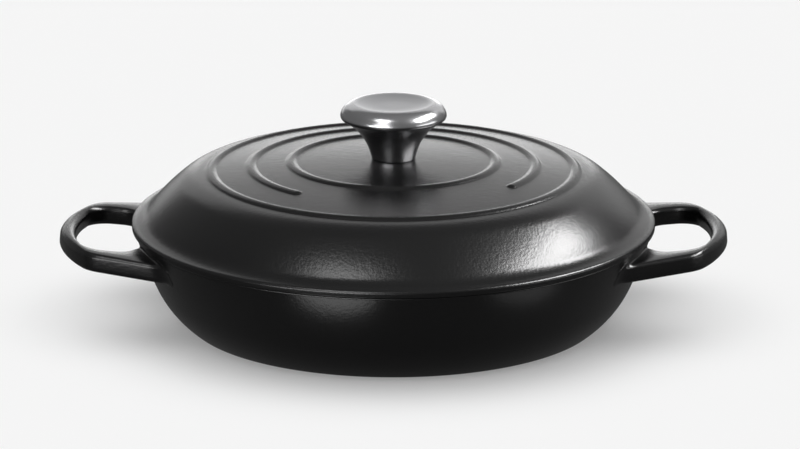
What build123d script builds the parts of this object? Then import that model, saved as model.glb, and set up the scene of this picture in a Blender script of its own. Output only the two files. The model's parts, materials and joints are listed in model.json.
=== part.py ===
"""Round enamelled cast-iron braiser: a wide pan with two loop handles, a domed lid and a steel knob.

Sizes are in millimetres and +Z is up. The origin is the centre of the circle that the pan stands
on, the loop handles lie along X, and the front of the lid faces -Y.
"""
import os
from math import atan2, cos, degrees, hypot, radians, sin, sqrt, tan

from build123d import *

os.makedirs("parts", exist_ok=True)

# How far a cutting shape runs past the face that it opens
overrun = 2.0

# Pan body: a flat base, a heel that leaves it at an angle, and a flank that steepens to the rim
flank_reach = 27.2
heel_angle = 37.3
heel_radius = 55.0
heel_turn = 28.3
rim_radius = 136.0
rim_height = 50.0
rim_land = 4.4
rim_round = 1.5
wall = 3.6
floor_thickness = 4.2
floor_round = 24.0
base_ring_width = 11.8
base_recess_depth = 0.8
base_edge_round = 0.8

# Loop handles: one flat ring of iron at each end of X, rising outwards
handle_length = 39.5
handle_half_width = 50.3
handle_drop = 5.5
handle_rise_angle = 5.0
handle_thickness = 9.6
handle_edge_share = 0.47
handle_blend_share = 0.85
tip_radius = 78.0
tip_width = 8.6
tip_corner_round = 16.0
arm_width = 9.8
arm_splay_angle = 16.1
grip_tip_radius = 115.0
grip_root_gap = 3.7
grip_root_angle = 58.0
grip_corner_share = 0.7
grip_root_share = 0.55

# Lid: a rounded edge, a narrow flange, a cove, a steep shoulder and a nearly flat crown
lid_overhang = 1.5
lid_seat_gap = 0.2
lid_rise = 35.8
lid_edge_thickness = 3.5
lid_edge_round = 1.3
flange_angle = 12.0
flange_width = 5.1
cove_share = 0.74
slope_angle = 46.0
shoulder_round = 26.5
crown_radius = 715.0
lid_wall = 3.3
lip_clearance = 1.5
lip_depth = 3.4
lip_thickness = 4.6
lip_round = 1.2
lip_inner_round = 7.0

# Raised rings on the crown, the middle one interrupted at the front
ring_pitch = 21.0
ring_margin = 5.8
bead_width = 5.9
bead_height = 1.5
bead_foot_round = 1.2
ring_gap_angle = 95.5
ring_gap_turn = 6.0

# Knob: a hollow steel mushroom with a dished top, on a threaded core
knob_foot_radius = 11.5
knob_stem_radius = 16.2
knob_stem_height = 11.7
knob_neck_radius = 26.6
knob_neck_height = 21.15
knob_lip_radius = 2.4
knob_lip_turn = 73.0
knob_brow_radius = 7.8
knob_dish_angle = 15.0
knob_dish_radius = 42.0
knob_foot_round = 0.5
knob_wall = 1.6
knob_foot_land = 2.85
core_clearance = 0.05
core_chamfer = 0.6

# Screw and washer that hold the knob from under the lid
screw_radius = 3.0
screw_hole_clearance = 0.5
thread_clearance = 0.05
thread_engagement = 8.0
core_drill_end = 1.0
core_roof = 1.0
screw_head_radius = 6.5
screw_head_height = 3.2
screw_head_round = 1.4
recess_length = 7.0
recess_width = 1.4
recess_depth = 1.9
recess_taper = 12.0
screw_tip_chamfer = 0.5
washer_clearance = 0.25
washer_radius = 9.0
washer_thickness = 1.2
washer_edge_round = 0.3
pad_margin = 2.0
pad_height = 0.9


# Places that follow from the sizes above
base_radius = rim_radius - flank_reach
handle_reach = rim_radius + handle_length
lid_radius = rim_radius + lid_overhang
flange_foot_radius = lid_radius - flange_width
seat_z = rim_height + lid_seat_gap
crown_height = seat_z + lid_rise
core_radius = knob_foot_radius - knob_foot_land - core_clearance
core_height = thread_engagement + core_drill_end + core_roof


def crown_z(radius):
    """Height of the crown's outer surface at this distance from the axis."""
    return crown_height - crown_radius + sqrt(crown_radius**2 - radius**2)


def heel_start(inset):
    """Where the heel leaves the base, moved inwards square to the wall."""
    return (
        base_radius - inset * sin(radians(heel_angle)),
        inset * cos(radians(heel_angle)),
    )


heel_direction = (cos(radians(heel_angle)), sin(radians(heel_angle)))

# Loop handle: the plan is drawn on a plane that rises outwards, with its origin at the tip
handle_plane = Plane(
    origin=(handle_reach, 0, rim_height - handle_drop),
    x_dir=(cos(radians(handle_rise_angle)), 0, sin(radians(handle_rise_angle))),
    z_dir=(-sin(radians(handle_rise_angle)), 0, cos(radians(handle_rise_angle))),
)
tip_sag = tip_radius - sqrt(tip_radius**2 - handle_half_width**2)
arm_run = handle_reach - base_radius - tip_sag
root_half_width = handle_half_width + arm_run * tan(radians(arm_splay_angle))
grip_half_width = handle_half_width - arm_width
grip_shoulder = -tip_width - grip_tip_radius + sqrt(grip_tip_radius**2 - grip_half_width**2)
grip_root = grip_root_gap - handle_length
grip_side = grip_shoulder - grip_root
grip_corner_round = grip_corner_share * grip_side
grip_point = grip_root - grip_half_width / tan(radians(grip_root_angle))
# The bar is narrowest between the tip's outer arc and the rounded corners of the grip
grip_corner_y = grip_half_width - grip_corner_round
grip_corner_x = (
    tip_radius
    - tip_width
    - grip_tip_radius
    + sqrt((grip_tip_radius - grip_corner_round) ** 2 - grip_corner_y**2)
)
bar_width = tip_radius - grip_corner_round - hypot(grip_corner_x, grip_corner_y)
# How far below the rim the handle's upper face runs into the flank
root_drop = (
    handle_drop
    + handle_length * tan(radians(handle_rise_angle))
    - handle_thickness / 2 / cos(radians(handle_rise_angle))
)

with BuildPart() as handle:
    with BuildSketch(handle_plane):
        with BuildLine():
            ThreePointArc(
                (-tip_sag, -handle_half_width),
                (0, 0),
                (-tip_sag, handle_half_width),
            )
            Polyline(
                (-tip_sag, handle_half_width),
                (-tip_sag - arm_run, root_half_width),
                (-tip_sag - arm_run, -root_half_width),
                (-tip_sag, -handle_half_width),
            )
        make_face()
        fillet(vertices().group_by(Axis.X)[-1], tip_corner_round)
        with BuildSketch(mode=Mode.SUBTRACT):
            with BuildLine():
                ThreePointArc(
                    (grip_shoulder, -grip_half_width),
                    (-tip_width, 0),
                    (grip_shoulder, grip_half_width),
                )
                Polyline(
                    (grip_shoulder, grip_half_width),
                    (grip_root, grip_half_width),
                    (grip_point, 0),
                    (grip_root, -grip_half_width),
                    (grip_shoulder, -grip_half_width),
                )
            make_face()
            fillet(vertices().group_by(Axis.X)[-1], grip_corner_round)
            root_corners = vertices().filter_by_position(Axis.X, grip_point, grip_root)
            fillet(root_corners, grip_root_share * grip_side)
    extrude(amount=handle_thickness / 2, both=True)
    flat_faces = handle.faces().filter_by(handle_plane)
    fillet(flat_faces.edges().sort_by(Axis.X)[2:], handle_edge_share * bar_width)

# One quarter of the pan's outer form, with the root of one handle arm blended into the flank
with BuildPart() as quarter:
    with BuildSketch(Plane.XZ):
        with BuildLine():
            base = Line((0, 0), heel_start(0))
            heel = JernArc(base @ 1, heel_direction, heel_radius, heel_turn)
            flank = TangentArc(heel @ 1, (rim_radius, rim_height), tangent=heel % 1)
            Polyline(flank @ 1, (0, rim_height), (0, 0))
        make_face()
    revolve(axis=Axis.Z, revolution_arc=90)
    add(handle.part)
    split(bisect_by=Plane.XZ, keep=Keep.BOTTOM)
    flank_face = max(quarter.faces(), key=lambda face: len(face.edges()))
    seam = flank_face.edges().filter_by(GeomType.BSPLINE)
    fillet(seam, handle_blend_share * root_drop)

# Pan: four quarters, hollowed out with an even wall, its rim rounded and its base relieved
with BuildPart() as pan:
    add(quarter.part)
    mirror(about=Plane.XZ)
    mirror(about=Plane.YZ)
    with BuildSketch(Plane.XZ):
        with BuildLine():
            inner_heel = JernArc(heel_start(wall), heel_direction, heel_radius - wall, heel_turn)
            inner_flank = TangentArc(
                inner_heel @ 1, (rim_radius - rim_land, rim_height), tangent=inner_heel % 1
            )
            Polyline(
                inner_flank @ 1,
                (rim_radius - rim_land, rim_height + overrun),
                (0, rim_height + overrun),
                (0, (inner_heel @ 0).Y),
                inner_heel @ 0,
            )
        make_face()
        Rectangle(2 * rim_radius, 2 * floor_thickness, mode=Mode.SUBTRACT)
        fillet(vertices().group_by(Axis.Y)[0].sort_by(Axis.X)[-1], floor_round)
    revolve(axis=Axis.Z, mode=Mode.SUBTRACT)
    fillet(edges().filter_by(GeomType.CIRCLE).group_by(Axis.Z)[-1], rim_round)
    fillet(edges().filter_by(GeomType.CIRCLE).group_by(Axis.Z)[0], base_edge_round)
    with BuildSketch(Plane.XY):
        Circle(base_radius - base_ring_width)
    extrude(amount=base_recess_depth, mode=Mode.SUBTRACT)
pan.part.label = "pan"
export_step(pan.part, "parts/pan.step")

# Lid: the section is turned solid with its two whole rings, then the dome is hollowed out
edge_top_z = seat_z + lid_edge_thickness
flange_foot_z = edge_top_z + flange_width * tan(radians(flange_angle))
cove_round = cove_share * flange_width / tan(radians((slope_angle - flange_angle) / 2))
shoulder_slope = tan(radians(slope_angle))
inner_rim_radius = rim_radius - rim_land
lip_radius = inner_rim_radius - lip_clearance


def shoulder_corner(inset):
    """Where the steep shoulder line meets the crown's arc, both moved inwards by inset."""
    arc_radius = crown_radius - inset
    arc_centre = crown_height - crown_radius
    line_z = flange_foot_z - inset / cos(radians(slope_angle))
    # The line is z = line_z + (flange_foot_radius - r) * shoulder_slope
    height = line_z + flange_foot_radius * shoulder_slope - arc_centre
    a = 1 + shoulder_slope**2
    b = height * shoulder_slope
    r = (b - sqrt(b**2 - a * (height**2 - arc_radius**2))) / a
    return (r, arc_centre + height - r * shoulder_slope)


def ring_centre(index):
    """Centre of a ring's bead circle in the section, sunk so that only its cap stands out."""
    radius = first_ring_radius + index * ring_pitch
    return (radius, crown_z(radius) + bead_height - bead_radius)


# The crown ends where the shoulder's round leaves it, and the outermost ring keeps a margin there
crown_edge = shoulder_corner(shoulder_round)[0] / (1 - shoulder_round / crown_radius)
first_ring_radius = crown_edge - ring_margin - 2 * ring_pitch
bead_radius = ((bead_width / 2) ** 2 + bead_height**2) / (2 * bead_height)
middle_radius = first_ring_radius + ring_pitch
ring_start = (ring_gap_angle / 2) + ring_gap_turn - 90
ring_ends = (ring_start, ring_start - ring_gap_angle)
ring_plane = Plane(
    origin=(0, 0, 0),
    x_dir=(cos(radians(ring_start)), sin(radians(ring_start)), 0),
    z_dir=(sin(radians(ring_start)), -cos(radians(ring_start)), 0),
)
knob_seat_radius = knob_foot_radius + pad_margin
knob_base_z = crown_z(knob_seat_radius)
dome_radius = lip_radius - lip_thickness
dome_corner_z = shoulder_corner(lid_wall)[1] + (
    shoulder_corner(lid_wall)[0] - dome_radius
) * shoulder_slope
pad_radius = washer_radius + pad_margin
pad_z = crown_height - lid_wall - pad_height

with BuildPart() as lid:
    with BuildSketch(Plane.XZ):
        with BuildLine():
            crown = RadiusArc((knob_seat_radius, knob_base_z), shoulder_corner(0), crown_radius)
            Polyline(
                crown @ 1,
                (flange_foot_radius, flange_foot_z),
                (lid_radius, edge_top_z),
                (lid_radius, seat_z),
                (lip_radius, seat_z),
                (lip_radius, seat_z - lip_depth),
                (0, seat_z - lip_depth),
                (0, knob_base_z),
                crown @ 0,
            )
        make_face()
        fillet(vertices().sort_by_distance(shoulder_corner(0))[0], shoulder_round)
        fillet(vertices().sort_by_distance((flange_foot_radius, flange_foot_z))[0], cove_round)
        fillet(vertices().group_by(Axis.X)[-1], lid_edge_round)
        with Locations(ring_centre(0), ring_centre(2)):
            Circle(bead_radius)
        for index in (0, 2):
            for side in (-1, 1):
                foot = first_ring_radius + index * ring_pitch + side * bead_width / 2
                fillet(vertices().sort_by_distance((foot, crown_z(foot)))[0], bead_foot_round)
    revolve(axis=Axis.Z)
    with BuildSketch(ring_plane):
        with Locations(ring_centre(1)):
            Circle(bead_radius)
    revolve(axis=Axis.Z, revolution_arc=360 - ring_gap_angle)
    for angle in ring_ends:
        with Locations(Location((0, 0, 0), (0, 0, angle)) * Pos(middle_radius, 0, ring_centre(1)[1])):
            Sphere(bead_radius)
    ring_foot = edges().filter_by(
        lambda edge: abs((edge @ 0.5).Z - crown_z(middle_radius)) < bead_height / 2
        and abs(hypot((edge @ 0.5).X, (edge @ 0.5).Y) - middle_radius) < bead_width
    )
    fillet(ring_foot, bead_foot_round)
    with BuildSketch(Plane.XZ):
        with BuildLine():
            dome = RadiusArc(
                (0, crown_height - lid_wall), shoulder_corner(lid_wall), crown_radius - lid_wall
            )
            Polyline(
                dome @ 1,
                (dome_radius, dome_corner_z),
                (dome_radius, seat_z - lip_depth - overrun),
                (0, seat_z - lip_depth - overrun),
                dome @ 0,
            )
        make_face()
        fillet(vertices().sort_by_distance(shoulder_corner(lid_wall))[0], shoulder_round - lid_wall)
        fillet(vertices().sort_by_distance((dome_radius, dome_corner_z))[0], lip_inner_round)
    revolve(axis=Axis.Z, mode=Mode.SUBTRACT)
    fillet(edges().group_by(Axis.Z)[0], lip_round)
    with BuildSketch(Plane.XY.offset(pad_z)):
        Circle(pad_radius)
    extrude(amount=pad_height + lid_wall / 2)
    with Locations((0, 0, crown_height)):
        Hole(screw_radius + screw_hole_clearance)
lid.part.label = "lid"
export_step(lid.part, "parts/lid.step")

# Knob: a mushroom turned in arcs: a waisted stem, a tight lip, and a broad brow that rolls over
# into the dish
with BuildPart() as knob_shell:
    with BuildSketch(Plane.XZ):
        with BuildLine():
            stem = ThreePointArc(
                (knob_foot_radius, knob_base_z),
                (knob_stem_radius, knob_base_z + knob_stem_height),
                (knob_neck_radius, knob_base_z + knob_neck_height),
            )
            lip = JernArc(stem @ 1, stem % 1, knob_lip_radius, knob_lip_turn)
            brow_turn = 180 + knob_dish_angle - degrees(atan2((lip % 1).Y, (lip % 1).X))
            brow = JernArc(lip @ 1, lip % 1, knob_brow_radius, brow_turn)
            bowl = JernArc(brow @ 1, brow % 1, knob_dish_radius, -knob_dish_angle)
            Polyline(bowl @ 1, (0, (bowl @ 1).Y), (0, knob_base_z), stem @ 0)
        make_face()
    revolve(axis=Axis.Z)
    fillet(edges().group_by(Axis.Z)[0], knob_foot_round)
    with BuildSketch(Plane.XZ):
        with BuildLine():
            add(stem)
            add(lip)
            add(brow)
            add(bowl)
            Polyline(bowl @ 1, (0, (bowl @ 1).Y), (0, knob_base_z), stem @ 0)
        make_face()
        mirror(about=Plane.YZ)
        offset(amount=-knob_wall, mode=Mode.REPLACE)
        split(bisect_by=Plane.YZ)
    revolve(axis=Axis.Z, mode=Mode.SUBTRACT)
    with Locations((0, 0, knob_base_z + core_height)):
        Hole(core_radius + core_clearance, depth=core_height)
knob_shell.part.label = "knob_shell"
export_step(knob_shell.part, "parts/knob_shell.step")

# Threaded core: fills the foot of the knob and stands on the lid
with BuildPart() as knob_core:
    with BuildSketch(Plane.XY.offset(knob_base_z)):
        Circle(core_radius)
    extrude(amount=core_height)
    chamfer(edges().group_by(Axis.Z)[-1], core_chamfer)
    with BuildSketch(Plane.XY.offset(knob_base_z)):
        Circle(screw_radius + thread_clearance)
    extrude(amount=thread_engagement + core_drill_end, mode=Mode.SUBTRACT)
knob_core.part.label = "knob_core"
export_step(knob_core.part, "parts/knob_core.step")

# Washer: lies flat against the pad under the lid
with BuildPart() as screw_washer:
    with BuildSketch(Plane.XY.offset(pad_z)):
        Circle(washer_radius)
        Circle(screw_radius + washer_clearance, mode=Mode.SUBTRACT)
    extrude(amount=-washer_thickness)
    fillet(edges().group_by(Axis.Z)[0], washer_edge_round)
screw_washer.part.label = "screw_washer"
export_step(screw_washer.part, "parts/screw_washer.step")

# Screw: a broad pan head with a cross recess, its shank through the lid into the core
head_z = pad_z - washer_thickness
with BuildPart() as lid_screw:
    with BuildSketch(Plane.XY.offset(head_z)):
        Circle(screw_head_radius)
    extrude(amount=-screw_head_height)
    fillet(edges().group_by(Axis.Z)[0], screw_head_round)
    with BuildSketch(Plane.XY.offset(head_z - screw_head_height)):
        Rectangle(recess_length, recess_width)
        Rectangle(recess_width, recess_length)
    extrude(amount=recess_depth, taper=recess_taper, mode=Mode.SUBTRACT)
    with BuildSketch(Plane.XY.offset(head_z)):
        Circle(screw_radius)
    extrude(amount=knob_base_z + thread_engagement - head_z)
    chamfer(edges().group_by(Axis.Z)[-1], screw_tip_chamfer)
lid_screw.part.label = "lid_screw"
export_step(lid_screw.part, "parts/lid_screw.step")
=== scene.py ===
# %% [markdown]
# A round cast-iron braiser, dressed for its picture.
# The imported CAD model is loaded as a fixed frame: its bodies say how things move, and its nodes
# say where each real piece is. This script lays smooth enamelled skins over the castings, gives
# every metal piece its finish, and lights them like a catalogue photograph on a pale table.

# %% Load the frame
import json
from math import atan2, cos, degrees, pi, radians, sin, sqrt, tan

import bmesh
import bpy
import numpy as np
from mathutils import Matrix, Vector

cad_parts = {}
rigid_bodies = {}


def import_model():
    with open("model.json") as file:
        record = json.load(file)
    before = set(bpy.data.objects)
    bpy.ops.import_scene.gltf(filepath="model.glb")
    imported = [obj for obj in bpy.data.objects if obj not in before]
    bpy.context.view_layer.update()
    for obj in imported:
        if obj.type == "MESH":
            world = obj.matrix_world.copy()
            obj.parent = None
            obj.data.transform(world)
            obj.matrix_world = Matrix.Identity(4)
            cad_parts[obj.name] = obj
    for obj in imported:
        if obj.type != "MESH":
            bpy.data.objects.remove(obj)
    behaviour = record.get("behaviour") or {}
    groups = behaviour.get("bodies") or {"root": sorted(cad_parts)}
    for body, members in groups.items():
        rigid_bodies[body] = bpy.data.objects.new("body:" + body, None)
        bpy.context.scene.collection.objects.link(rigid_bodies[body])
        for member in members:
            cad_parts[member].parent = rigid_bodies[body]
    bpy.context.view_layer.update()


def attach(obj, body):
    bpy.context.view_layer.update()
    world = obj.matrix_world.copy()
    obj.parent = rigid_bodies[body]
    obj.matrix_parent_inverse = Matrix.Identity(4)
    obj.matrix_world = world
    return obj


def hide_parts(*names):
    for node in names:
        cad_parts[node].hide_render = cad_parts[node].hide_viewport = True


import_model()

MM = 0.001

# %% [markdown]
# The camera stands 2.4 metres away and looks down at 16 degrees, as in the photograph.
# A long lens from far away keeps the ellipses of the lid nearly parallel. A short lens close by
# would be easier to place, but it would make the front rim bulge.

# %% Camera
SENSOR_WIDTH, LENS, LOOK_DOWN = 36.0, 205.2, 15.95
CAMERA_PLACE = (0.0034, -2.3076, 0.7090)
camera_data = bpy.data.cameras.new("camera")
camera_data.sensor_width = SENSOR_WIDTH
camera_data.lens = LENS
camera = bpy.data.objects.new("camera", camera_data)
bpy.context.scene.collection.objects.link(camera)
camera.location = CAMERA_PLACE
camera.rotation_euler = (radians(90 - LOOK_DOWN), 0, 0)
bpy.context.scene.camera = camera
bpy.context.scene.view_settings.view_transform = "Standard"
print("camera at", tuple(round(c, 3) for c in camera.location))

# %% [markdown]
# Every shape here is a grid of points: one direction runs along a profile, the other round the
# axis or along a path. Blender could also turn a curve with its Screw modifier, but a grid that
# is worked out with numpy lets the raised rings and the handle blends be plain formulas.

# %% Grid to mesh
SAME_POINT = 1e-7


def mesh_from_grid(name, grid, close_rows, close_columns):
    """Quads between neighbours of a rows x columns x 3 grid. A closed direction wraps round.

    Face (i, j) has the corners (i, j), (i, j+1), (i+1, j+1), (i+1, j)."""
    rows, columns = grid.shape[:2]
    i = np.arange(rows if close_rows else rows - 1)[:, None]
    j = np.arange(columns if close_columns else columns - 1)[None, :]
    next_i = (i + 1) % rows
    next_j = (j + 1) % columns
    corners = (i * columns + j, i * columns + next_j, next_i * columns + next_j, next_i * columns + j)
    faces = np.stack([np.broadcast_to(c, (i.size, j.size)) for c in corners], axis=-1).reshape(-1, 4)
    mesh = bpy.data.meshes.new(name)
    mesh.from_pydata(grid.reshape(-1, 3).tolist(), [], faces.tolist())
    return mesh


def finished(mesh, name, body, replaces=()):
    """Merges the points that meet in one place, points all faces outwards and adds the object."""
    work = bmesh.new()
    work.from_mesh(mesh)
    bmesh.ops.remove_doubles(work, verts=work.verts, dist=SAME_POINT)
    bmesh.ops.recalc_face_normals(work, faces=work.faces)
    work.to_mesh(mesh)
    work.free()
    mesh.shade_smooth()
    piece = bpy.data.objects.new(name, mesh)
    bpy.context.scene.collection.objects.link(piece)
    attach(piece, body)
    if replaces:
        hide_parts(*replaces)
    print(name, len(mesh.polygons), "faces")


# %% [markdown]
# A turned profile is made of straight lines and arcs that run smoothly into each other, as a
# lathe or a mould maker would draw it. These small helpers give points along such arcs, in
# millimetres. The last one turns a finished profile about the upright axis.

# %% Lines and arcs of a profile
TURN_STEP = 1.5


def arc(centre, radius, start, end, count):
    """Points at centre + radius * (cos a, sin a), for angles a from start to end in degrees."""
    a = np.radians(np.linspace(start, end, count))
    return np.stack([centre[0] + radius * np.cos(a), centre[1] + radius * np.sin(a)], axis=1)


def line(start, end, count):
    """Points evenly spaced from start to end."""
    t = np.linspace(0, 1, count)[:, None]
    return np.array(start) * (1 - t) + np.array(end) * t


def rounded_corner(corner, before, after, radius, count):
    """Arc of this radius that leaves the line before-corner and joins the line corner-after.

    It starts radius * tan(turn / 2) before the corner, and its centre stands square to the line."""
    corner, before, after = (np.array(p, float) for p in (corner, before, after))
    d0 = (corner - before) / np.linalg.norm(corner - before)
    d1 = (after - corner) / np.linalg.norm(after - corner)
    turn = atan2(d0[0] * d1[1] - d0[1] * d1[0], d0 @ d1)
    reach = radius * tan(abs(turn) / 2)
    side = 1 if turn > 0 else -1
    centre = corner - d0 * reach + side * radius * np.array([-d0[1], d0[0]])
    first = degrees(atan2(-side * d0[0], side * d0[1]))
    return arc(centre, radius, first, first + degrees(turn), count)


def tangent_arc(start, direction, end, count):
    """Arc from start, leaving along direction, to end: its radius is chord^2 / (2 chord . normal)."""
    start, end = np.array(start, float), np.array(end, float)
    normal = np.array([-direction[1], direction[0]])
    chord = end - start
    radius = (chord @ chord) / (2 * chord @ normal)
    centre = start + radius * normal
    a0, a1 = angle_from(centre, start), angle_from(centre, end)
    turn = (a1 - a0 + 180) % 360 - 180
    return arc(centre, abs(radius), a0, a0 + turn, count)


def bend(start, heading, radius, turn, count):
    """Arc that leaves start along heading and turns by turn degrees, to the left if positive."""
    side = 1 if turn > 0 else -1
    h = radians(heading)
    centre = np.array(start) + side * radius * np.array([-sin(h), cos(h)])
    return arc(centre, radius, heading - side * 90, heading - side * 90 + turn, count)


def angle_from(centre, point):
    """Direction from a centre to a point, in degrees."""
    return degrees(atan2(point[1] - centre[1], point[0] - centre[0]))


def turned(profile, angles):
    """Each profile point (r, z) goes round the axis to (r cos a, r sin a, z), in metres."""
    r, z = profile[:, 0][:, None], profile[:, 1][:, None]
    grid = np.stack([r * np.cos(angles), r * np.sin(angles), z + 0 * angles], axis=-1)
    return grid * MM


all_round = np.radians(np.arange(0, 360, TURN_STEP))
print("a turned piece has", len(all_round), "columns")

# %% [markdown]
# The pan is one iron casting: a flat base, a heel that leaves it at an angle, and a flank that
# steepens to the rim. Its section is drawn once, from the middle of the underside, up the
# outside, over the rim and down the inside to the middle of the floor. A solid bowl with a
# second one cut out of it would do too, but one drawn line keeps the wall even.

# %% Pan section
RIM_RADIUS, RIM_HEIGHT, RIM_LAND, RIM_ROUND = 136.0, 50.0, 4.4, 0.9
RECESS_RADIUS, RECESS_DEPTH, RECESS_BEVEL, RECESS_CORNER = 97.0, 0.8, 0.3, 0.1
BASE_RADIUS, BASE_ROUND, BASE_ROUND_ROOM = 108.8, 0.8, 0.6
HEEL_ANGLE, HEEL_RADIUS, HEEL_TURN, HEEL_START = 37.3, 55.0, 28.3, 1.0
WALL, FLOOR, FLOOR_ROUND = 3.6, 4.2, 24.0
# The heel leaves the base along heel_way, so its centre stands square to that direction
heel_way = np.array([cos(radians(HEEL_ANGLE)), sin(radians(HEEL_ANGLE))])
heel_centre = np.array([BASE_RADIUS, 0]) + HEEL_RADIUS * np.array([-heel_way[1], heel_way[0]])
heel_stop = HEEL_ANGLE + HEEL_TURN - 90


def flank(inset, rim_radius, count):
    """Arc from the end of the heel, moved inwards by inset, to the rim, tangent to the heel."""
    a = radians(HEEL_ANGLE + HEEL_TURN)
    start = heel_centre + (HEEL_RADIUS - inset) * np.array([sin(a), -cos(a)])
    return tangent_arc(start, np.array([cos(a), sin(a)]), (rim_radius, RIM_HEIGHT), count)


outer_flank = flank(0, RIM_RADIUS, 26)
inner_flank = flank(WALL, RIM_RADIUS - RIM_LAND, 26)
rim_outside, rim_inside = outer_flank[-1], inner_flank[-1]
# The floor's round touches the floor below it and the heel's inside beyond it
floor_z = FLOOR + FLOOR_ROUND - heel_centre[1]
floor_r = sqrt((HEEL_RADIUS - WALL - FLOOR_ROUND) ** 2 - floor_z**2)
floor_centre = heel_centre + (floor_r, floor_z)
floor_turn = angle_from(heel_centre, floor_centre)
pan_section = np.vstack([
    line((0, RECESS_DEPTH), (RECESS_RADIUS - RECESS_BEVEL, RECESS_DEPTH), 12),
    line((RECESS_RADIUS, RECESS_DEPTH - RECESS_CORNER), (RECESS_RADIUS, RECESS_BEVEL), 3),
    line((RECESS_RADIUS + RECESS_BEVEL, 0.0), (BASE_RADIUS - BASE_ROUND_ROOM, 0.0), 6),
    rounded_corner((BASE_RADIUS, 0), (0, 0), (BASE_RADIUS, 0) + heel_way, BASE_ROUND, 5),
    arc(heel_centre, HEEL_RADIUS, HEEL_ANGLE - 90 + HEEL_START, heel_stop, 22)[:-1],
    outer_flank[:-2],
    rounded_corner(rim_outside, outer_flank[-2], rim_inside, RIM_ROUND, 8),
    rounded_corner(rim_inside, rim_outside, inner_flank[-2], RIM_ROUND, 8),
    inner_flank[-3::-1],
    arc(heel_centre, HEEL_RADIUS - WALL, heel_stop, floor_turn, 8)[1:],
    arc(floor_centre, FLOOR_ROUND, floor_turn, -90, 14)[1:],
    line((floor_centre[0], FLOOR), (0, FLOOR), 12)[1:],
])
print("pan section:", len(pan_section), "points")

# %% [markdown]
# The section goes once round the upright axis and becomes the bowl. Its first and last points
# lie on the axis, so they close the skin in the middle of the base and of the floor. In the
# foundry the same shape stands between two halves of a sand mould, one for each side of the wall.

# %% Pan bowl
finished(
    mesh_from_grid("pan_bowl", turned(pan_section, all_round), False, True),
    "pan_bowl", "pan_body", replaces=["pan"],
)

# %% [markdown]
# The loop handles are cast in one with the pan. Each is a flat bar bent into a loop, with soft
# edges. It could be cut from a block with booleans, but a bar carried along the loop keeps its
# faces even: one direction of the grid goes along the loop, the other round the bar's section.
# Both outlines of the loop, outer and inner, are drawn in plan and paired point by point.
# Their x counts outwards from the tip, and only the half with positive y is drawn.

# %% Handle outlines
HALF_WIDTH, TIP_RADIUS, TIP_CORNER = 50.3, 78.0, 16.0
ARM_SPLAY, ARM_RUN = 16.1, 52.0
TIP_WIDTH, ARM_WIDTH = 8.6, 10.4
GRIP_TIP_RADIUS, GRIP_CORNER, GRIP_ROOT, GRIP_ROOT_ROUND = 115.0, 13.9, -35.8, 10.9
GRIP_ROOT_ANGLE, GRIP_RUN = 58.0, 14.0


def arc_about(tip_x, radius, half_width, count):
    """Arc through (tip_x, 0), with its centre behind it, out to y = half_width."""
    return arc((tip_x - radius, 0), radius, 0, degrees(np.arcsin(half_width / radius)), count)


def with_corner(path, corner, after, radius):
    """Cuts a path short of its last corner and rounds that corner towards the point after."""
    turn = rounded_corner(corner, path[-2], after, radius, 14)
    keep = np.hypot(*(path - corner).T) > np.hypot(*(turn[0] - corner))
    return np.vstack([path[keep], turn])


tip_sag = TIP_RADIUS - sqrt(TIP_RADIUS**2 - HALF_WIDTH**2)
outer_corner = (-tip_sag, HALF_WIDTH)
outer_root = (-tip_sag - ARM_RUN, HALF_WIDTH + ARM_RUN * tan(radians(ARM_SPLAY)))
outer_half = with_corner(arc_about(0, TIP_RADIUS, HALF_WIDTH, 60), outer_corner, outer_root, TIP_CORNER)
outer_half = np.vstack([outer_half, [outer_root]])

grip_half = HALF_WIDTH - ARM_WIDTH
inner_corner = (-TIP_WIDTH - GRIP_TIP_RADIUS + sqrt(GRIP_TIP_RADIUS**2 - grip_half**2), grip_half)
grip_bend = (GRIP_ROOT, grip_half)
inner_root = (GRIP_ROOT - GRIP_RUN, grip_half - GRIP_RUN * tan(radians(GRIP_ROOT_ANGLE)))
inner_half = with_corner(
    arc_about(-TIP_WIDTH, GRIP_TIP_RADIUS, grip_half, 60), inner_corner, grip_bend, GRIP_CORNER)
inner_half = with_corner(np.vstack([inner_half, [grip_bend]]), grip_bend, inner_root, GRIP_ROOT_ROUND)
inner_half = np.vstack([inner_half, [inner_root]])
print("outer half", len(outer_half), "inner half", len(inner_half), "to", outer_root, inner_root)

# %% [markdown]
# The bar is thicker in its middle than at its sides: its top is crowned and its edges are round,
# as iron leaves a mould. It is nearly round at the tip, where fingers hold it, and crisper along
# the arms. The loop's plane tilts up a little towards the tip, so a hand goes under it easily.

# %% Handle bar
HANDLE_REACH, HANDLE_DROP, HANDLE_RISE, HANDLE_THICKNESS = 175.45, 4.9, 5.0, 10.4
TIP_ROUND, ARM_ROUND, LOWER_ROUND, TOP_CROWN = 4.2, 2.2, 2.7, 1.1
TIP_ROUND_TO, ARM_ROUND_FROM = 30.0, 52.0
TIP_COUNT, ARM_COUNT = 90, 130


def lengths(path):
    """Distance along a path from its start to each of its points."""
    return np.r_[0, np.cumsum(np.hypot(*np.diff(path, axis=0).T))]


def whole_outline(half, corner):
    """Samples half an outline from the tip to the corner and on to its end, and mirrors it in y."""
    step = lengths(half)
    share = step[np.argmin(np.hypot(*(half - corner).T))] / step[-1]
    at = np.r_[np.linspace(0, share, TIP_COUNT)[:-1], np.linspace(share, 1, ARM_COUNT)]
    one = np.stack([np.interp(at * step[-1], step, half[:, k]) for k in (0, 1)], axis=1)
    return np.vstack([one[:0:-1] * (1, -1), one])


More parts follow.
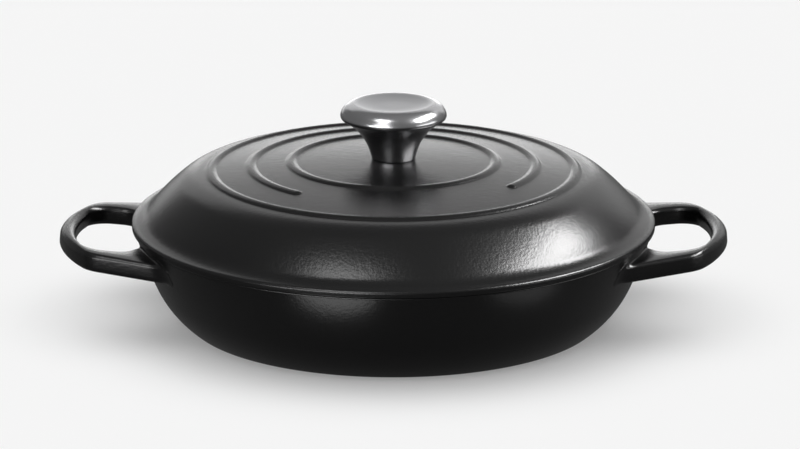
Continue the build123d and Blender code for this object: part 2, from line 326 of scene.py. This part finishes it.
def bar_section(inner, outer, thickness, upper, lower, crown, per_corner):
    """Rounded rectangle between an inner and an outer outline, at every step of the loop.

    With W the distance inner-outer, e the direction between them and up the plane's normal, a
    point is middle + e (sx (W/2 - radius) + radius cos a) + up (sy (T/2 - radius) + radius sin a).
    The radius is upper at the two top corners and lower at the two bottom ones. The top falls by
    crown towards both sides, as (2 out / W)^2, and less and less down to the middle plane."""
    a = np.concatenate([np.radians(np.linspace(q, q + 90, per_corner)) for q in (0, 90, 180, 270)])
    sx = np.repeat([1, -1, -1, 1], per_corner)
    sy = np.repeat([1, 1, -1, -1], per_corner)
    radius = np.where(sy > 0, upper[:, None], lower)
    across = outer - inner
    width = np.linalg.norm(across, axis=1)[:, None]
    e = across / width
    out = sx * (width / 2 - radius) + radius * np.cos(a)
    up = sy * (thickness / 2 - radius) + radius * np.sin(a)
    up = up - crown * (2 * out / width) ** 2 * np.maximum(up, 0) / (thickness / 2)
    middle = (inner + outer)[:, None, :] / 2
    plan = middle + e[:, None, :] * out[:, :, None]
    normal = np.concatenate([e[:, None, :] * np.cos(a)[None, :, None],
                             np.broadcast_to(np.sin(a)[None, :, None], (*out.shape, 1))], axis=2)
    return np.concatenate([plan, up[:, :, None]], axis=2), normal


def on_handle_plane(points, origin):
    """Turns plan coordinates (x outwards, y, height above the plane) into the pan's frame."""
    c, s = cos(radians(HANDLE_RISE)), sin(radians(HANDLE_RISE))
    x, y, w = points[..., 0], points[..., 1], points[..., 2]
    return np.stack([origin[0] + x * c - w * s, y, origin[1] + x * s + w * c], axis=-1)


outer_line = whole_outline(outer_half, outer_corner)
inner_line = whole_outline(inner_half, inner_corner)
# A smooth step 3s^2 - 2s^3 leads from the tip's upper round to the arms'
s = np.clip((np.abs(outer_line[:, 1]) - TIP_ROUND_TO) / (ARM_ROUND_FROM - TIP_ROUND_TO), 0, 1)
upper_round = TIP_ROUND + (ARM_ROUND - TIP_ROUND) * s**2 * (3 - 2 * s)
bar, bar_normal = bar_section(
    inner_line, outer_line, HANDLE_THICKNESS, upper_round, LOWER_ROUND, TOP_CROWN, 8)
bar = on_handle_plane(bar, (HANDLE_REACH, RIM_HEIGHT - HANDLE_DROP))
bar_normal = on_handle_plane(bar_normal, (0, 0))
print("handle bar grid", bar.shape)

# %% [markdown]
# Where the handle meets the flank the iron runs into it in a soft hollow curve, because a casting
# has no sharp inside corners. Each line of the bar is stopped a little before the flank, and a
# curve leaves it there and lands flat on the flank, square to the seam. The last rows go just
# under the flank's skin and close the bar there. A boolean union and a bevel would also join
# them, but a bevel seldom survives where three faces meet.

# %% Handle blended into the flank
BLEND_REACH, BLEND_TOP, BLEND_ROWS, BAR_ROWS = 1.8, 48.3, 9, 190
# How much wider the blend gets on the outer side and above, and how level it runs on the outer side
OUTER_SWEEP, UPPER_SWEEP, OUTER_LEVEL = 4.0, 0.4, 0.9
# The blend's end stands a little proud of the flank, and the row after it is buried under it
PROUD, BURIED = 0.02, 1.5
# The step for the flank's slope, and the least rise that a line is reckoned with
NEAR, LEAST_RISE = 0.2, 0.05

heel_line = arc(heel_centre, HEEL_RADIUS, HEEL_ANGLE - 90, heel_stop, 40)[:-1]
outside_line = np.vstack([heel_line, outer_flank])


def flank_radius(z):
    """Outer radius of the pan at this height."""
    return np.interp(z, outside_line[:, 1], outside_line[:, 0])


def unit(vectors):
    """The same directions with length one."""
    return vectors / np.linalg.norm(vectors, axis=1)[:, None]


def take_rows(grid, at):
    """Value of each column of a grid at a row number that may lie between rows."""
    low = np.clip(np.floor(at).astype(int), 0, len(grid) - 2)
    w = (at - low)[..., None]
    columns = np.broadcast_to(np.arange(grid.shape[1]), at.shape)
    return grid[low, columns] * (1 - w) + grid[low + 1, columns] * w


def root_rows(grid, normal):
    """Blend rows of one root: (1-t)^2 A + 2t(1-t) C + t^2 B in each column of the bar.

    C is where the line meets the flank, A the place on the line that far before it, and B the
    place on the flank that far from it, away from the bar. Rows run from A to B. The curve is
    largest on the outer side, where the arm sweeps into the flank, and smallest below. It ends
    under the rim."""
    outside = np.hypot(grid[..., 0], grid[..., 1]) - flank_radius(grid[..., 2])
    after = np.argmax(outside < 0, axis=0)
    columns = np.arange(grid.shape[1])
    before, behind = outside[after - 1, columns], outside[after, columns]
    crossing = after - 1 + before / (before - behind)
    c = take_rows(grid, crossing[None])[0]
    away = take_rows(normal, crossing[None])[0]
    slope = (flank_radius(c[:, 2] + NEAR) - flank_radius(c[:, 2] - NEAR)) / (2 * NEAR)
    n = unit(np.stack([c[:, 0], c[:, 1], -slope * np.hypot(c[:, 0], c[:, 1])], axis=1))
    # The part of the bar's normal that lies in the flank leads away from the bar
    way = unit(away - (away * n).sum(1)[:, None] * n)
    outer = np.maximum(np.sign(c[:, 1]) * way[:, 1], 0)
    way[:, 2] *= 1 - OUTER_LEVEL * outer
    way = unit(way)
    room = (BLEND_TOP - c[:, 2]) / np.maximum(way[:, 2], LEAST_RISE)
    wanted = BLEND_REACH * (1 + UPPER_SWEEP * way[:, 2] + OUTER_SWEEP * outer**2)
    length = np.minimum(wanted, room)
    pitch = np.linalg.norm(np.diff(grid, axis=0), axis=2)[np.clip(after - 4, 0, None), columns]
    stop = crossing - length / pitch
    a = take_rows(grid, stop[None])[0]
    b = c + way * length[:, None]
    b[:, :2] *= ((flank_radius(b[:, 2]) + PROUD) / np.hypot(b[:, 0], b[:, 1]))[:, None]
    t = np.linspace(0, 1, BLEND_ROWS)[:, None, None]
    rows = (1 - t) ** 2 * a + 2 * t * (1 - t) * c + t**2 * b
    buried = b.copy()
    buried[:, :2] *= 1 - BURIED / RIM_RADIUS
    closed = np.broadcast_to(buried.mean(0), (1, *buried.shape))
    return stop, np.concatenate([rows, buried[None], closed])


middle_row = len(bar) // 2
right_stop, right_root = root_rows(bar[middle_row:], bar_normal[middle_row:])
left_stop, left_root = root_rows(bar[middle_row::-1], bar_normal[middle_row::-1])
share = np.linspace(0, 1, BAR_ROWS)[:, None]
between = take_rows(bar, middle_row - left_stop + share * (left_stop + right_stop))
handle_grid = np.concatenate([left_root[:0:-1], between, right_root[1:]]) * MM
for side, name in ((1, "handle_right"), (-1, "handle_left")):
    turned_grid = handle_grid * (side, side, 1)
    finished(mesh_from_grid(name, turned_grid, False, True), name, "pan_body")

# %% [markdown]
# The lid is a second casting. Its section has a nearly flat crown, a big round shoulder, a slope
# that is a little bowed, a small hollow above the flange, and a lip underneath that keeps it
# centred in the pan. Every part is an arc that touches its neighbours without a corner, because
# glossy black shows each change of direction as a line. Where two arcs are known, the one that
# rounds them off has its centre where two circles about their centres cross.

# %% Outside of the lid
SEAT_Z, CROWN_Z, CROWN_RADIUS, SHOULDER, COVE = 50.2, 86.0, 715.0, 25.3, 12.0
SLOPE_MIDDLE, SLOPE_ANGLE, SLOPE_RADIUS = (123.25, 64.35), 46.0, 107.0
LID_RADIUS, EDGE_THICKNESS, FLANGE_ANGLE = 137.5, 3.5, 12.0
KNOB_FOOT, PAD_MARGIN, PAD_SOFT, HOLE = 11.5, 2.0, 0.8, 3.5
RINGS, RING_ROOM = (53.7, 74.7, 95.7), 3.6


def crown_z(r):
    """Height of the crown at this distance from the axis: one large arc."""
    return CROWN_Z - CROWN_RADIUS + np.sqrt(CROWN_RADIUS**2 - np.square(r))


def crossing(c1, r1, c2, r2):
    """Outer point at distance r1 from c1 and r2 from c2.

    It lies (r1^2 - r2^2 + L^2) / 2L along the line c1-c2 of length L, and square to it."""
    c1, c2 = np.array(c1, float), np.array(c2, float)
    span = np.linalg.norm(c2 - c1)
    u = (c2 - c1) / span
    along_line = (r1**2 - r2**2 + span**2) / (2 * span)
    aside = sqrt(r1**2 - along_line**2) * np.array([-u[1], u[0]])
    return max(c1 + u * along_line + aside, c1 + u * along_line - aside, key=lambda p: p[0])


crown_centre = np.array([0.0, CROWN_Z - CROWN_RADIUS])
outward = np.array([sin(radians(SLOPE_ANGLE)), cos(radians(SLOPE_ANGLE))])
slope_centre = np.array(SLOPE_MIDDLE) - SLOPE_RADIUS * outward
shoulder_centre = crossing(
    crown_centre, CROWN_RADIUS - SHOULDER, slope_centre, SLOPE_RADIUS - SHOULDER)
crown_to_shoulder = angle_from(crown_centre, shoulder_centre)
shoulder_to_slope = angle_from(slope_centre, shoulder_centre)
edge_top = np.array([LID_RADIUS, SEAT_Z + EDGE_THICKNESS])
edge_low = np.array([LID_RADIUS, SEAT_Z])
# The flange is a straight line, and the cove's centre lies on a line COVE above it
flange = np.array([-cos(radians(FLANGE_ANGLE)), sin(radians(FLANGE_ANGLE))])
above = edge_top + COVE * np.array([sin(radians(FLANGE_ANGLE)), cos(radians(FLANGE_ANGLE))])
to_centre = above - slope_centre
half_way = to_centre @ flange
reach = -half_way - sqrt(half_way**2 - to_centre @ to_centre + (SLOPE_RADIUS + COVE) ** 2)
cove_centre = above + reach * flange
slope_to_cove = angle_from(slope_centre, cove_centre)
crown_edge = CROWN_RADIUS * cos(radians(crown_to_shoulder))
seat_r = KNOB_FOOT + PAD_MARGIN
stations = np.unique(np.concatenate([
    np.linspace(seat_r, crown_edge, 26),
    *(np.linspace(r - RING_ROOM, r + RING_ROOM, 25) for r in RINGS),
]))
upper = np.vstack([
    line((HOLE, crown_z(seat_r)), (seat_r - PAD_SOFT, crown_z(seat_r)), 5),
    np.stack([stations, crown_z(stations)], axis=1),
    arc(shoulder_centre, SHOULDER, crown_to_shoulder, shoulder_to_slope, 26)[1:],
    arc(slope_centre, SLOPE_RADIUS, shoulder_to_slope, slope_to_cove, 16)[1:],
    arc(cove_centre, COVE, slope_to_cove + 180, 270 - FLANGE_ANGLE, 14)[1:],
])
print("shoulder centre", shoulder_centre, "cove centre", cove_centre, "flange from", upper[-1])

# %% [markdown]
# The photograph doesn't show the lid's underside. It follows the outside at an even wall, as a
# casting does, with a short lip that drops inside the rim and a pad round the hole for the
# screw. The line goes on from the flange, round the edge and inwards to the hole.

# %% Underside of the lid
LID_WALL, EDGE_TOP_ROUND, EDGE_LOW_ROUND = 3.3, 1.7, 0.7
LIP_RADIUS, LIP_DEPTH, LIP_THICKNESS, LIP_ROUND = 130.1, 3.4, 4.6, 1.2
DOME_ROUND, DOME_ROUND_ROOM = 7.0, 3.5
PAD_RADIUS, PAD_HEIGHT, PAD_FOOT, PAD_STEP, PAD_BEVEL = 11.0, 0.9, 0.4, 0.5, 0.3
dome_r = LIP_RADIUS - LIP_THICKNESS
lip_top, lip_low = np.array([LIP_RADIUS, SEAT_Z]), np.array([LIP_RADIUS, SEAT_Z - LIP_DEPTH])
dome_low = np.array([dome_r, SEAT_Z - LIP_DEPTH])
dome_arc = arc(slope_centre, SLOPE_RADIUS - LID_WALL, slope_to_cove, shoulder_to_slope, 12)
dome_arc = dome_arc[dome_arc[:, 0] < dome_r - DOME_ROUND_ROOM]
# The dome's first chord is drawn on until it meets the lip's inner side
chord = dome_arc[0] - dome_arc[1]
dome_corner = dome_arc[0] + chord * (dome_r - dome_arc[0, 0]) / chord[0]
inner_edge = (CROWN_RADIUS - LID_WALL) * cos(radians(crown_to_shoulder))
inner_r = np.linspace(inner_edge, PAD_RADIUS + PAD_FOOT, 30)
inner_z = CROWN_Z - CROWN_RADIUS + np.sqrt((CROWN_RADIUS - LID_WALL) ** 2 - inner_r**2)
pad_z = CROWN_Z - LID_WALL - PAD_HEIGHT
lid_section = np.vstack([
    upper,
    rounded_corner(edge_top, upper[-1], edge_low, EDGE_TOP_ROUND, 10),
    rounded_corner(edge_low, edge_top, lip_top, EDGE_LOW_ROUND, 8),
    line(edge_low, lip_top, 6)[1:],
    rounded_corner(lip_low, lip_top, dome_low, LIP_ROUND, 6),
    rounded_corner(dome_low, lip_low, dome_corner, LIP_ROUND, 6),
    rounded_corner(dome_corner, dome_low, dome_arc[0], DOME_ROUND, 10),
    dome_arc,
    arc(shoulder_centre, SHOULDER - LID_WALL, shoulder_to_slope, crown_to_shoulder, 20)[1:],
    np.stack([inner_r, inner_z], axis=1)[1:],
    line((PAD_RADIUS, pad_z + PAD_STEP), (PAD_RADIUS, pad_z + PAD_BEVEL), 2),
    line((PAD_RADIUS - PAD_BEVEL, pad_z), (HOLE, pad_z), 4),
])
print("lid section:", len(lid_section), "points, crown edge at", round(crown_edge, 2))

# %% [markdown]
# Three ring-shaped beads stand on the crown, and the middle one is broken at the front. On the
# real lid they are part of the casting, so they are added to the height of the crown itself:
# separate rings laid on it would leave a hard seam. The grid is finer round the two ends of the
# broken ring, so that their caps come out round.

# %% Lid with raised rings
BEAD_WIDTH, BEAD_HEIGHT, BEAD_FOOT = 5.8, 1.25, 1.6
RING_ENDS = (-35.0, -131.75)
FINE_REACH, FINE_STEP, FINE_MARGIN = 4.2, 0.3, 4.5
bead_radius = ((BEAD_WIDTH / 2) ** 2 + BEAD_HEIGHT**2) / (2 * BEAD_HEIGHT)
foot_out = sqrt((bead_radius + BEAD_FOOT) ** 2 - (bead_radius - BEAD_HEIGHT + BEAD_FOOT) ** 2)
foot_in = foot_out * bead_radius / (bead_radius + BEAD_FOOT)


def bead_height(distance):
    """Height of a bead at this distance from its middle line.

    Inside, the cap of a circle that is sunk into the crown. At its foot, a small hollow arc
    that leaves the cap smoothly and lies flat on the crown."""
    d = np.abs(distance)
    cap = np.sqrt(np.maximum(bead_radius**2 - d**2, 0)) - (bead_radius - BEAD_HEIGHT)
    foot = BEAD_FOOT - np.sqrt(np.maximum(BEAD_FOOT**2 - (foot_out - d) ** 2, 0))
    return np.where(d < foot_in, cap, np.where(d < foot_out, foot, 0.0))


def ring_relief(r, angle):
    """Height of all rings at radius r and angle, in degrees.

    A whole ring's distance is |r - ring|. The middle ring ends in round caps: past an end, its
    distance is measured to the end point itself."""
    whole = bead_height(r - RINGS[0]) + bead_height(r - RINGS[2])
    gap = (angle < RING_ENDS[0]) & (angle > RING_ENDS[1])
    turns = [np.radians(angle - end) for end in RING_ENDS]
    to_ends = [np.hypot(r * np.cos(a) - RINGS[1], r * np.sin(a)) for a in turns]
    broken = np.where(gap, np.minimum(*to_ends), np.abs(r - RINGS[1]))
    return whole + bead_height(broken)


fine = [np.arange(end - FINE_REACH, end + FINE_REACH, FINE_STEP) for end in RING_ENDS]
coarse = np.arange(-180, 180, TURN_STEP)
coarse = coarse[np.all([np.abs(coarse - end) > FINE_MARGIN for end in RING_ENDS], axis=0)]
lid_angles = np.sort(np.concatenate([coarse, *fine]))
on_crown = np.arange(len(lid_section)) < len(upper)
relief = ring_relief(lid_section[:, 0][:, None], lid_angles[None, :]) * on_crown[:, None]
lid_grid = turned(lid_section, np.radians(lid_angles))
lid_grid[..., 2] += relief * MM
finished(
    mesh_from_grid("lid_cover", lid_grid, True, True),
    "lid_cover", "lid_body", replaces=["lid"],
)

# %% [markdown]
# The knob is pressed from stainless sheet: a waisted stem, a small lip, a rolled brow and a
# shallow dish on top, with an even wall. Four arcs give its outside, one for each. The same
# arcs, moved in by the wall, give the inside, and the foot keeps the threaded core's hole.

# %% Knob
STEM_R, STEM_Z, NECK_R, NECK_Z = 16.2, 11.7, 26.6, 21.15
KNOB_LIP_ROUND, KNOB_LIP_TURN, BROW_ROUND, DISH_ANGLE, DISH_ROUND = 2.4, 73.0, 7.8, 15.0, 42.0
KNOB_WALL, FOOT_ROUND, FOOT_TURN, FOOT_GAP, FOOT_HOLE = 1.6, 0.5, 70, 0.1, 8.65
knob_z = float(crown_z(seat_r))


def circle_through(a, b, c):
    """Centre and radius of the circle that is as far from each of three points."""
    a, b, c = (np.array(p, float) for p in (a, b, c))
    m = 2 * np.array([b - a, c - a])
    centre = np.linalg.solve(m, np.array([b @ b - a @ a, c @ c - a @ a]))
    return centre, float(np.linalg.norm(a - centre))


knob_foot, knob_neck = (KNOB_FOOT, knob_z), (NECK_R, knob_z + NECK_Z)
stem_centre, stem_radius = circle_through(knob_foot, (STEM_R, knob_z + STEM_Z), knob_neck)


def knob_line(inset):
    """Stem, lip, brow and dish moved inwards by inset, from the foot to the middle of the dish.

    The stem's centre lies outside the metal, so its radius grows by the inset, and so does the
    dish's. The centres of the lip and the brow lie inside, so their radii shrink."""
    foot = angle_from(stem_centre, knob_foot) % 360
    neck = angle_from(stem_centre, knob_neck) % 360
    stem = arc(stem_centre, stem_radius + inset, foot, neck, 34)
    lip = bend(stem[-1], neck - 90, KNOB_LIP_ROUND - inset, KNOB_LIP_TURN, 16)
    brow_start, brow_end = neck - 90 + KNOB_LIP_TURN, 180 + DISH_ANGLE
    brow = bend(lip[-1], brow_start, BROW_ROUND - inset, brow_end - brow_start, 26)
    dish = bend(brow[-1], brow_end, DISH_ROUND + inset, -DISH_ANGLE, 12)
    return np.vstack([stem, lip[1:], brow[1:], dish[1:], line(dish[-1], (0, dish[-1][1]), 8)[1:]])


outside, inside = knob_line(0), knob_line(KNOB_WALL)
inside = inside[inside[:, 1] > knob_z + KNOB_WALL]
foot_round = bend((KNOB_FOOT - FOOT_ROUND, knob_z), 0, FOOT_ROUND, FOOT_TURN, 6)
knob_section = np.vstack([
    inside[::-1],
    [(inside[0, 0], knob_z + KNOB_WALL), (FOOT_HOLE, knob_z + KNOB_WALL), (FOOT_HOLE, knob_z)],
    foot_round,
    outside[outside[:, 1] > foot_round[-1, 1] + FOOT_GAP],
])
finished(
    mesh_from_grid("knob_skin", turned(knob_section, all_round), False, True),
    "knob_skin", "lid_body", replaces=["knob_shell"],
)
print("knob reaches", round(outside[:, 0].max(), 2), "out and", round(outside[:, 1].max(), 2), "up")

# %% [markdown]
# The castings wear a satin black enamel. It is a smooth glassy coat, but fired on rough iron it
# keeps a fine orange peel, so highlights break into specks. Two noise bumps of different grain
# give that. A texture of painted specks would not follow the light.

# %% Enamel
ENAMEL_BLACK, ENAMEL_ROUGHNESS = (0.0018, 0.0018, 0.0020), 0.27


def add_node(nodes, kind, values=None, **settings):
    """New node with these settings, such as an operation, and values for some of its inputs."""
    made = nodes.new(kind)
    for setting, value in settings.items():
        setattr(made, setting, value)
    for key, value in (values or {}).items():
        made.inputs[key].default_value = value
    return made


def material(name, colour, roughness, metallic=0.0):
    """New material with a Principled shader, and the parts that the finishes below add to."""
    made = bpy.data.materials.new(name)
    made.use_nodes = True
    nodes, links = made.node_tree.nodes, made.node_tree.links
    shader = nodes["Principled BSDF"]
    shader.inputs["Base Color"].default_value = (*colour, 1.0)
    shader.inputs["Roughness"].default_value = roughness
    shader.inputs["Metallic"].default_value = metallic
    return made, nodes, links, shader


def grain(nodes, links, scale, strength, distance, under=None):
    """Bump from a noise in object coordinates. It lies on top of the bump under it, if any."""
    place = add_node(nodes, "ShaderNodeTexCoord")
    noise = add_node(nodes, "ShaderNodeTexNoise", {"Scale": scale, "Detail": 2.0})
    bump = add_node(nodes, "ShaderNodeBump", {"Strength": strength, "Distance": distance})
    links.new(place.outputs["Object"], noise.inputs["Vector"])
    links.new(noise.outputs["Fac"], bump.inputs["Height"])
    if under:
        links.new(under.outputs["Normal"], bump.inputs["Normal"])
    return bump


enamel, nodes, links, shader = material("satin_black_enamel", ENAMEL_BLACK, ENAMEL_ROUGHNESS)
coarse_bump = grain(nodes, links, 400.0, 0.17, 0.0004)
fine_bump = grain(nodes, links, 850.0, 0.30, 0.00025, under=coarse_bump)
links.new(fine_bump.outputs["Normal"], shader.inputs["Normal"])
print("enamel:", len(nodes), "nodes")

# %% [markdown]
# The knob is turned on a lathe and brushed, which leaves fine grooves round its axis. A noise along one
# line, the distance from the axis, gives such rings on every side of it. The dish is duller and darker. It
# is rougher, and its steel colour is made darker as painted shade that dims its reflection. Two ramps find
# it, one by the distance from the axis and one by the height. A second mesh for the dish would leave a
# seam in what is one sheet of steel.

# %% Turned and brushed steel
STEEL, STEEL_ROUGHNESS = (0.47, 0.47, 0.48), 0.23
# The dish's darker steel colour is painted shade; its higher roughness is the real brushed finish.
DISH_SHADED_STEEL, DISH_ROUGHNESS = (0.36, 0.36, 0.37), 0.46
DISH_FADE_FROM, DISH_FADE_TO, TOP_FADE_FROM, TOP_FADE_TO = 0.0215, 0.0180, 0.108, 0.110
satin_steel, nodes, links, shader = material("brushed_steel", STEEL, STEEL_ROUGHNESS, 1.0)
place = add_node(nodes, "ShaderNodeTexCoord")
split = add_node(nodes, "ShaderNodeSeparateXYZ")
flat = add_node(nodes, "ShaderNodeCombineXYZ")
from_axis = add_node(nodes, "ShaderNodeVectorMath", operation="LENGTH")
links.new(place.outputs["Object"], split.inputs["Vector"])
links.new(split.outputs["X"], flat.inputs["X"])
links.new(split.outputs["Y"], flat.inputs["Y"])
links.new(flat.outputs["Vector"], from_axis.inputs[0])

inside_brow = add_node(nodes, "ShaderNodeMapRange", {"From Min": DISH_FADE_FROM, "From Max": DISH_FADE_TO})
on_top = add_node(nodes, "ShaderNodeMapRange", {"From Min": TOP_FADE_FROM, "From Max": TOP_FADE_TO})
dished = add_node(nodes, "ShaderNodeMath", operation="MULTIPLY")
links.new(from_axis.outputs["Value"], inside_brow.inputs["Value"])
links.new(split.outputs["Z"], on_top.inputs["Value"])
links.new(inside_brow.outputs["Result"], dished.inputs[0])
links.new(on_top.outputs["Result"], dished.inputs[1])

rough = add_node(nodes, "ShaderNodeMapRange", {"To Min": STEEL_ROUGHNESS, "To Max": DISH_ROUGHNESS})
links.new(dished.outputs["Value"], rough.inputs["Value"])
links.new(rough.outputs["Result"], shader.inputs["Roughness"])
# Painted shade: the dish gets the darker steel colour.
dish_shade_colour = add_node(nodes, "ShaderNodeMix", {"A": (*STEEL, 1.0), "B": (*DISH_SHADED_STEEL, 1.0)}, data_type="RGBA")
links.new(dished.outputs["Value"], dish_shade_colour.inputs["Factor"])
links.new(dish_shade_colour.outputs["Result"], shader.inputs["Base Color"])

groove = add_node(nodes, "ShaderNodeTexNoise", noise_dimensions="1D")
groove.inputs["Scale"].default_value = 3000.0
groove_bump = add_node(nodes, "ShaderNodeBump", {"Strength": 0.25, "Distance": 0.00004})
links.new(from_axis.outputs["Value"], groove.inputs["W"])
links.new(groove.outputs["Fac"], groove_bump.inputs["Height"])
links.new(groove_bump.outputs["Normal"], shader.inputs["Normal"])
print("brushed steel:", len(nodes), "nodes")

# %% [markdown]
# The screw, its washer and the threaded core are plain machined parts. Handling leaves their
# gloss uneven, so a noise moves the roughness a little, with faint tool marks as a bump on top.
# These pieces keep their exact CAD shapes and get only this finish. Every other piece is enamel.

# %% Machined steel, and a finish for each piece
MACHINED, WORN_SMOOTH, WORN_DULL = (0.60, 0.60, 0.60), 0.24, 0.42
plain_steel, nodes, links, shader = material("machined_steel", MACHINED, 0.30, 1.0)
place = add_node(nodes, "ShaderNodeTexCoord")
wear = add_node(nodes, "ShaderNodeTexNoise", {"Scale": 420.0, "Detail": 3.0})
worn = add_node(nodes, "ShaderNodeMapRange", {
    "From Min": 0.3, "From Max": 0.7, "To Min": WORN_SMOOTH, "To Max": WORN_DULL})
links.new(place.outputs["Object"], wear.inputs["Vector"])
links.new(wear.outputs["Fac"], worn.inputs["Value"])
links.new(worn.outputs["Result"], shader.inputs["Roughness"])
tooled = grain(nodes, links, 1600.0, 0.2, 0.00003)
links.new(tooled.outputs["Normal"], shader.inputs["Normal"])

steels = {"knob_skin": satin_steel, "knob_core": plain_steel, "lid_screw": plain_steel,
          "screw_washer": plain_steel}
for piece in bpy.data.objects:
    if piece.type == "MESH":
        piece.data.materials.clear()
        piece.data.materials.append(steels.get(piece.name, enamel))
print("materials:", [m.name for m in bpy.data.materials])

# %% [markdown]
# The floor is a large pale sheet that takes the light, so the pan throws its own soft shadow on
# it. A faint glow of its own, for the rays that look at it, keeps that shadow light.
# Photographers set black cards round a glossy black pan, or the white table turns it grey. Here
# glossy rays find the sheet nearly black, with a weaker glow, which does the same.

# %% Floor
PAPER, MIRRORED_PAPER, GLOW, MIRRORED_GLOW = 0.672, 0.03, 0.25, 0.10
FLOOR_CORNERS = [(-1.4, -1.0, 0), (1.4, -1.0, 0), (1.4, 1.5, 0), (-1.4, 1.5, 0)]
floor_mesh = bpy.data.meshes.new("floor")
floor_mesh.from_pydata(FLOOR_CORNERS, [], [(0, 1, 2, 3)])
floor = bpy.data.objects.new("floor", floor_mesh)
bpy.context.scene.collection.objects.link(floor)
paper, nodes, links, shader = material("pale_paper", (PAPER, PAPER, PAPER), 1.0)
shader.inputs["Specular IOR Level"].default_value = 0.0
shader.inputs["Emission Color"].default_value = (1.0, 1.0, 1.0, 1.0)
rays = add_node(nodes, "ShaderNodeLightPath")
seen = add_node(nodes, "ShaderNodeMix", {
    "A": (PAPER, PAPER, PAPER, 1.0),
    "B": (MIRRORED_PAPER, MIRRORED_PAPER, MIRRORED_PAPER, 1.0)}, data_type="RGBA")
links.new(rays.outputs["Is Glossy Ray"], seen.inputs["Factor"])
links.new(seen.outputs["Result"], shader.inputs["Base Color"])
looked_at = add_node(nodes, "ShaderNodeMath", operation="MAXIMUM")
links.new(rays.outputs["Is Camera Ray"], looked_at.inputs[0])
links.new(rays.outputs["Is Transmission Ray"], looked_at.inputs[1])
mirrored = add_node(nodes, "ShaderNodeMath", {1: MIRRORED_GLOW}, operation="MULTIPLY")
links.new(rays.outputs["Is Glossy Ray"], mirrored.inputs[0])
glow = add_node(nodes, "ShaderNodeMath", {1: GLOW}, operation="MULTIPLY_ADD")
links.new(looked_at.outputs["Value"], glow.inputs[0])
links.new(mirrored.outputs["Value"], glow.inputs[2])
links.new(glow.outputs["Value"], shader.inputs["Emission Strength"])
floor.data.materials.append(paper)
print("floor:", len(floor_mesh.polygons), "face")

# %% [markdown]
# Soft boxes give the highlights. The near-flat crown mirrors what stands low behind the pan, the
# slope mirrors what hangs above and in front of it, and the flank mirrors the table. A strong
# box high on the right makes the broad highlight, and low strips in front draw the thin lines
# along the edges. The boxes light only what is glossy: the even light comes from the room.

# %% Lamps
LAMP_DISTANCE, AIM_HEIGHT = 2.0, 0.05
CARD_DISTANCE, CARD_WIDTH, CARD_HEIGHT = 0.1844, 24, 12


def soft_box(name, elevation, azimuth, width, height, radiance, distance=LAMP_DISTANCE):
    """Rectangular lamp that faces the pan. Its power is pi x area x radiance.

    Elevation counts from the table, azimuth from straight behind the pan towards the right.
    Width and height are angles too, as seen from the pan, all in degrees."""
    lamp = bpy.data.lights.new(name, "AREA")
    lamp.shape = "RECTANGLE"
    lamp.size, lamp.size_y = (2 * distance * tan(radians(v / 2)) for v in (width, height))
    lamp.energy = pi * lamp.size * lamp.size_y * radiance
    box = bpy.data.objects.new(name, lamp)
    box.visible_diffuse = False
    bpy.context.scene.collection.objects.link(box)
    e, a = radians(elevation), radians(azimuth)
    away = Vector((cos(e) * sin(a), cos(e) * cos(a), sin(e)))
    box.location = Vector((0, 0, AIM_HEIGHT)) + away * distance
    box.rotation_euler = away.to_track_quat("Z", "Y").to_euler()
    return box


soft_box("right_box", 41, 90, 45, 15, 24.0)
soft_box("left_box", 56, 212, 22, 12, 6.6)
soft_box("middle_box", 39, 205, 20, 21, 2.8)
soft_box("front_box", 19, 205, 30, 14, 2.6)
soft_box("front_strip", 4, 210, 44, 11, 8.0)
soft_box("right_strip", 4, 104, 46, 11, 3.0)
soft_box("back_strip", 5, 0, 26, 12, 2.0)
soft_box("back_low", 6, 14, 40, 12, 0.4)
soft_box("back_left", 3, -20, 18, 11, 0.9)
soft_box("back_panel", 26, 5, 66, 32, 0.62)
# Two small oval lamps lie on the table like cards, face up, and light the top of the flank
for name, azimuth, turn, radiance in (("left_card", 197.4, -12, 1.8), ("right_card", 139.0, 41, 0.4)):
    card = soft_box(name, 0, azimuth, CARD_WIDTH, CARD_HEIGHT, radiance, distance=CARD_DISTANCE)
    card.location.z = MM
    card.rotation_euler = (pi, 0, radians(turn))
    card.data.shape = "ELLIPSE"

# %% [markdown]
# The room is a world that gets brighter towards the top, like a studio with a large light
# ceiling. Matt surfaces get their even light from it. Glossy ones see it dim, because in the
# photograph the black enamel mirrors a dark room, and the camera sees it as pale as the table.
# A dome of lamps could do the same, but it would need many of them.

# %% Room
SKY_FROM, SKY_TO, SKY_LOW, SKY_HIGH = 0.60, 0.95, 0.10, 2.39
MIRRORED_ROOM, BACKGROUND_LEVEL = 0.20, 0.915
world = bpy.data.worlds.new("studio")
bpy.context.scene.world = world
world.use_nodes = True
nodes, links = world.node_tree.nodes, world.node_tree.links
background = nodes["Background"]
background.inputs["Color"].default_value = (1.0, 1.0, 1.0, 1.0)
place = add_node(nodes, "ShaderNodeTexCoord")
split = add_node(nodes, "ShaderNodeSeparateXYZ")
sky = add_node(nodes, "ShaderNodeMapRange", {
    "From Min": SKY_FROM, "From Max": SKY_TO, "To Min": SKY_LOW, "To Max": SKY_HIGH})
rays = add_node(nodes, "ShaderNodeLightPath")
level = add_node(nodes, "ShaderNodeMix", {"B": MIRRORED_ROOM})
shown = add_node(nodes, "ShaderNodeMix", {"B": BACKGROUND_LEVEL})
links.new(place.outputs["Generated"], split.inputs["Vector"])
links.new(split.outputs["Z"], sky.inputs["Value"])
links.new(rays.outputs["Is Glossy Ray"], level.inputs["Factor"])
links.new(sky.outputs["Result"], level.inputs["A"])
links.new(rays.outputs["Is Camera Ray"], shown.inputs["Factor"])
links.new(level.outputs["Result"], shown.inputs["A"])
links.new(shown.outputs["Result"], background.inputs["Strength"])
print("room:", world.name)
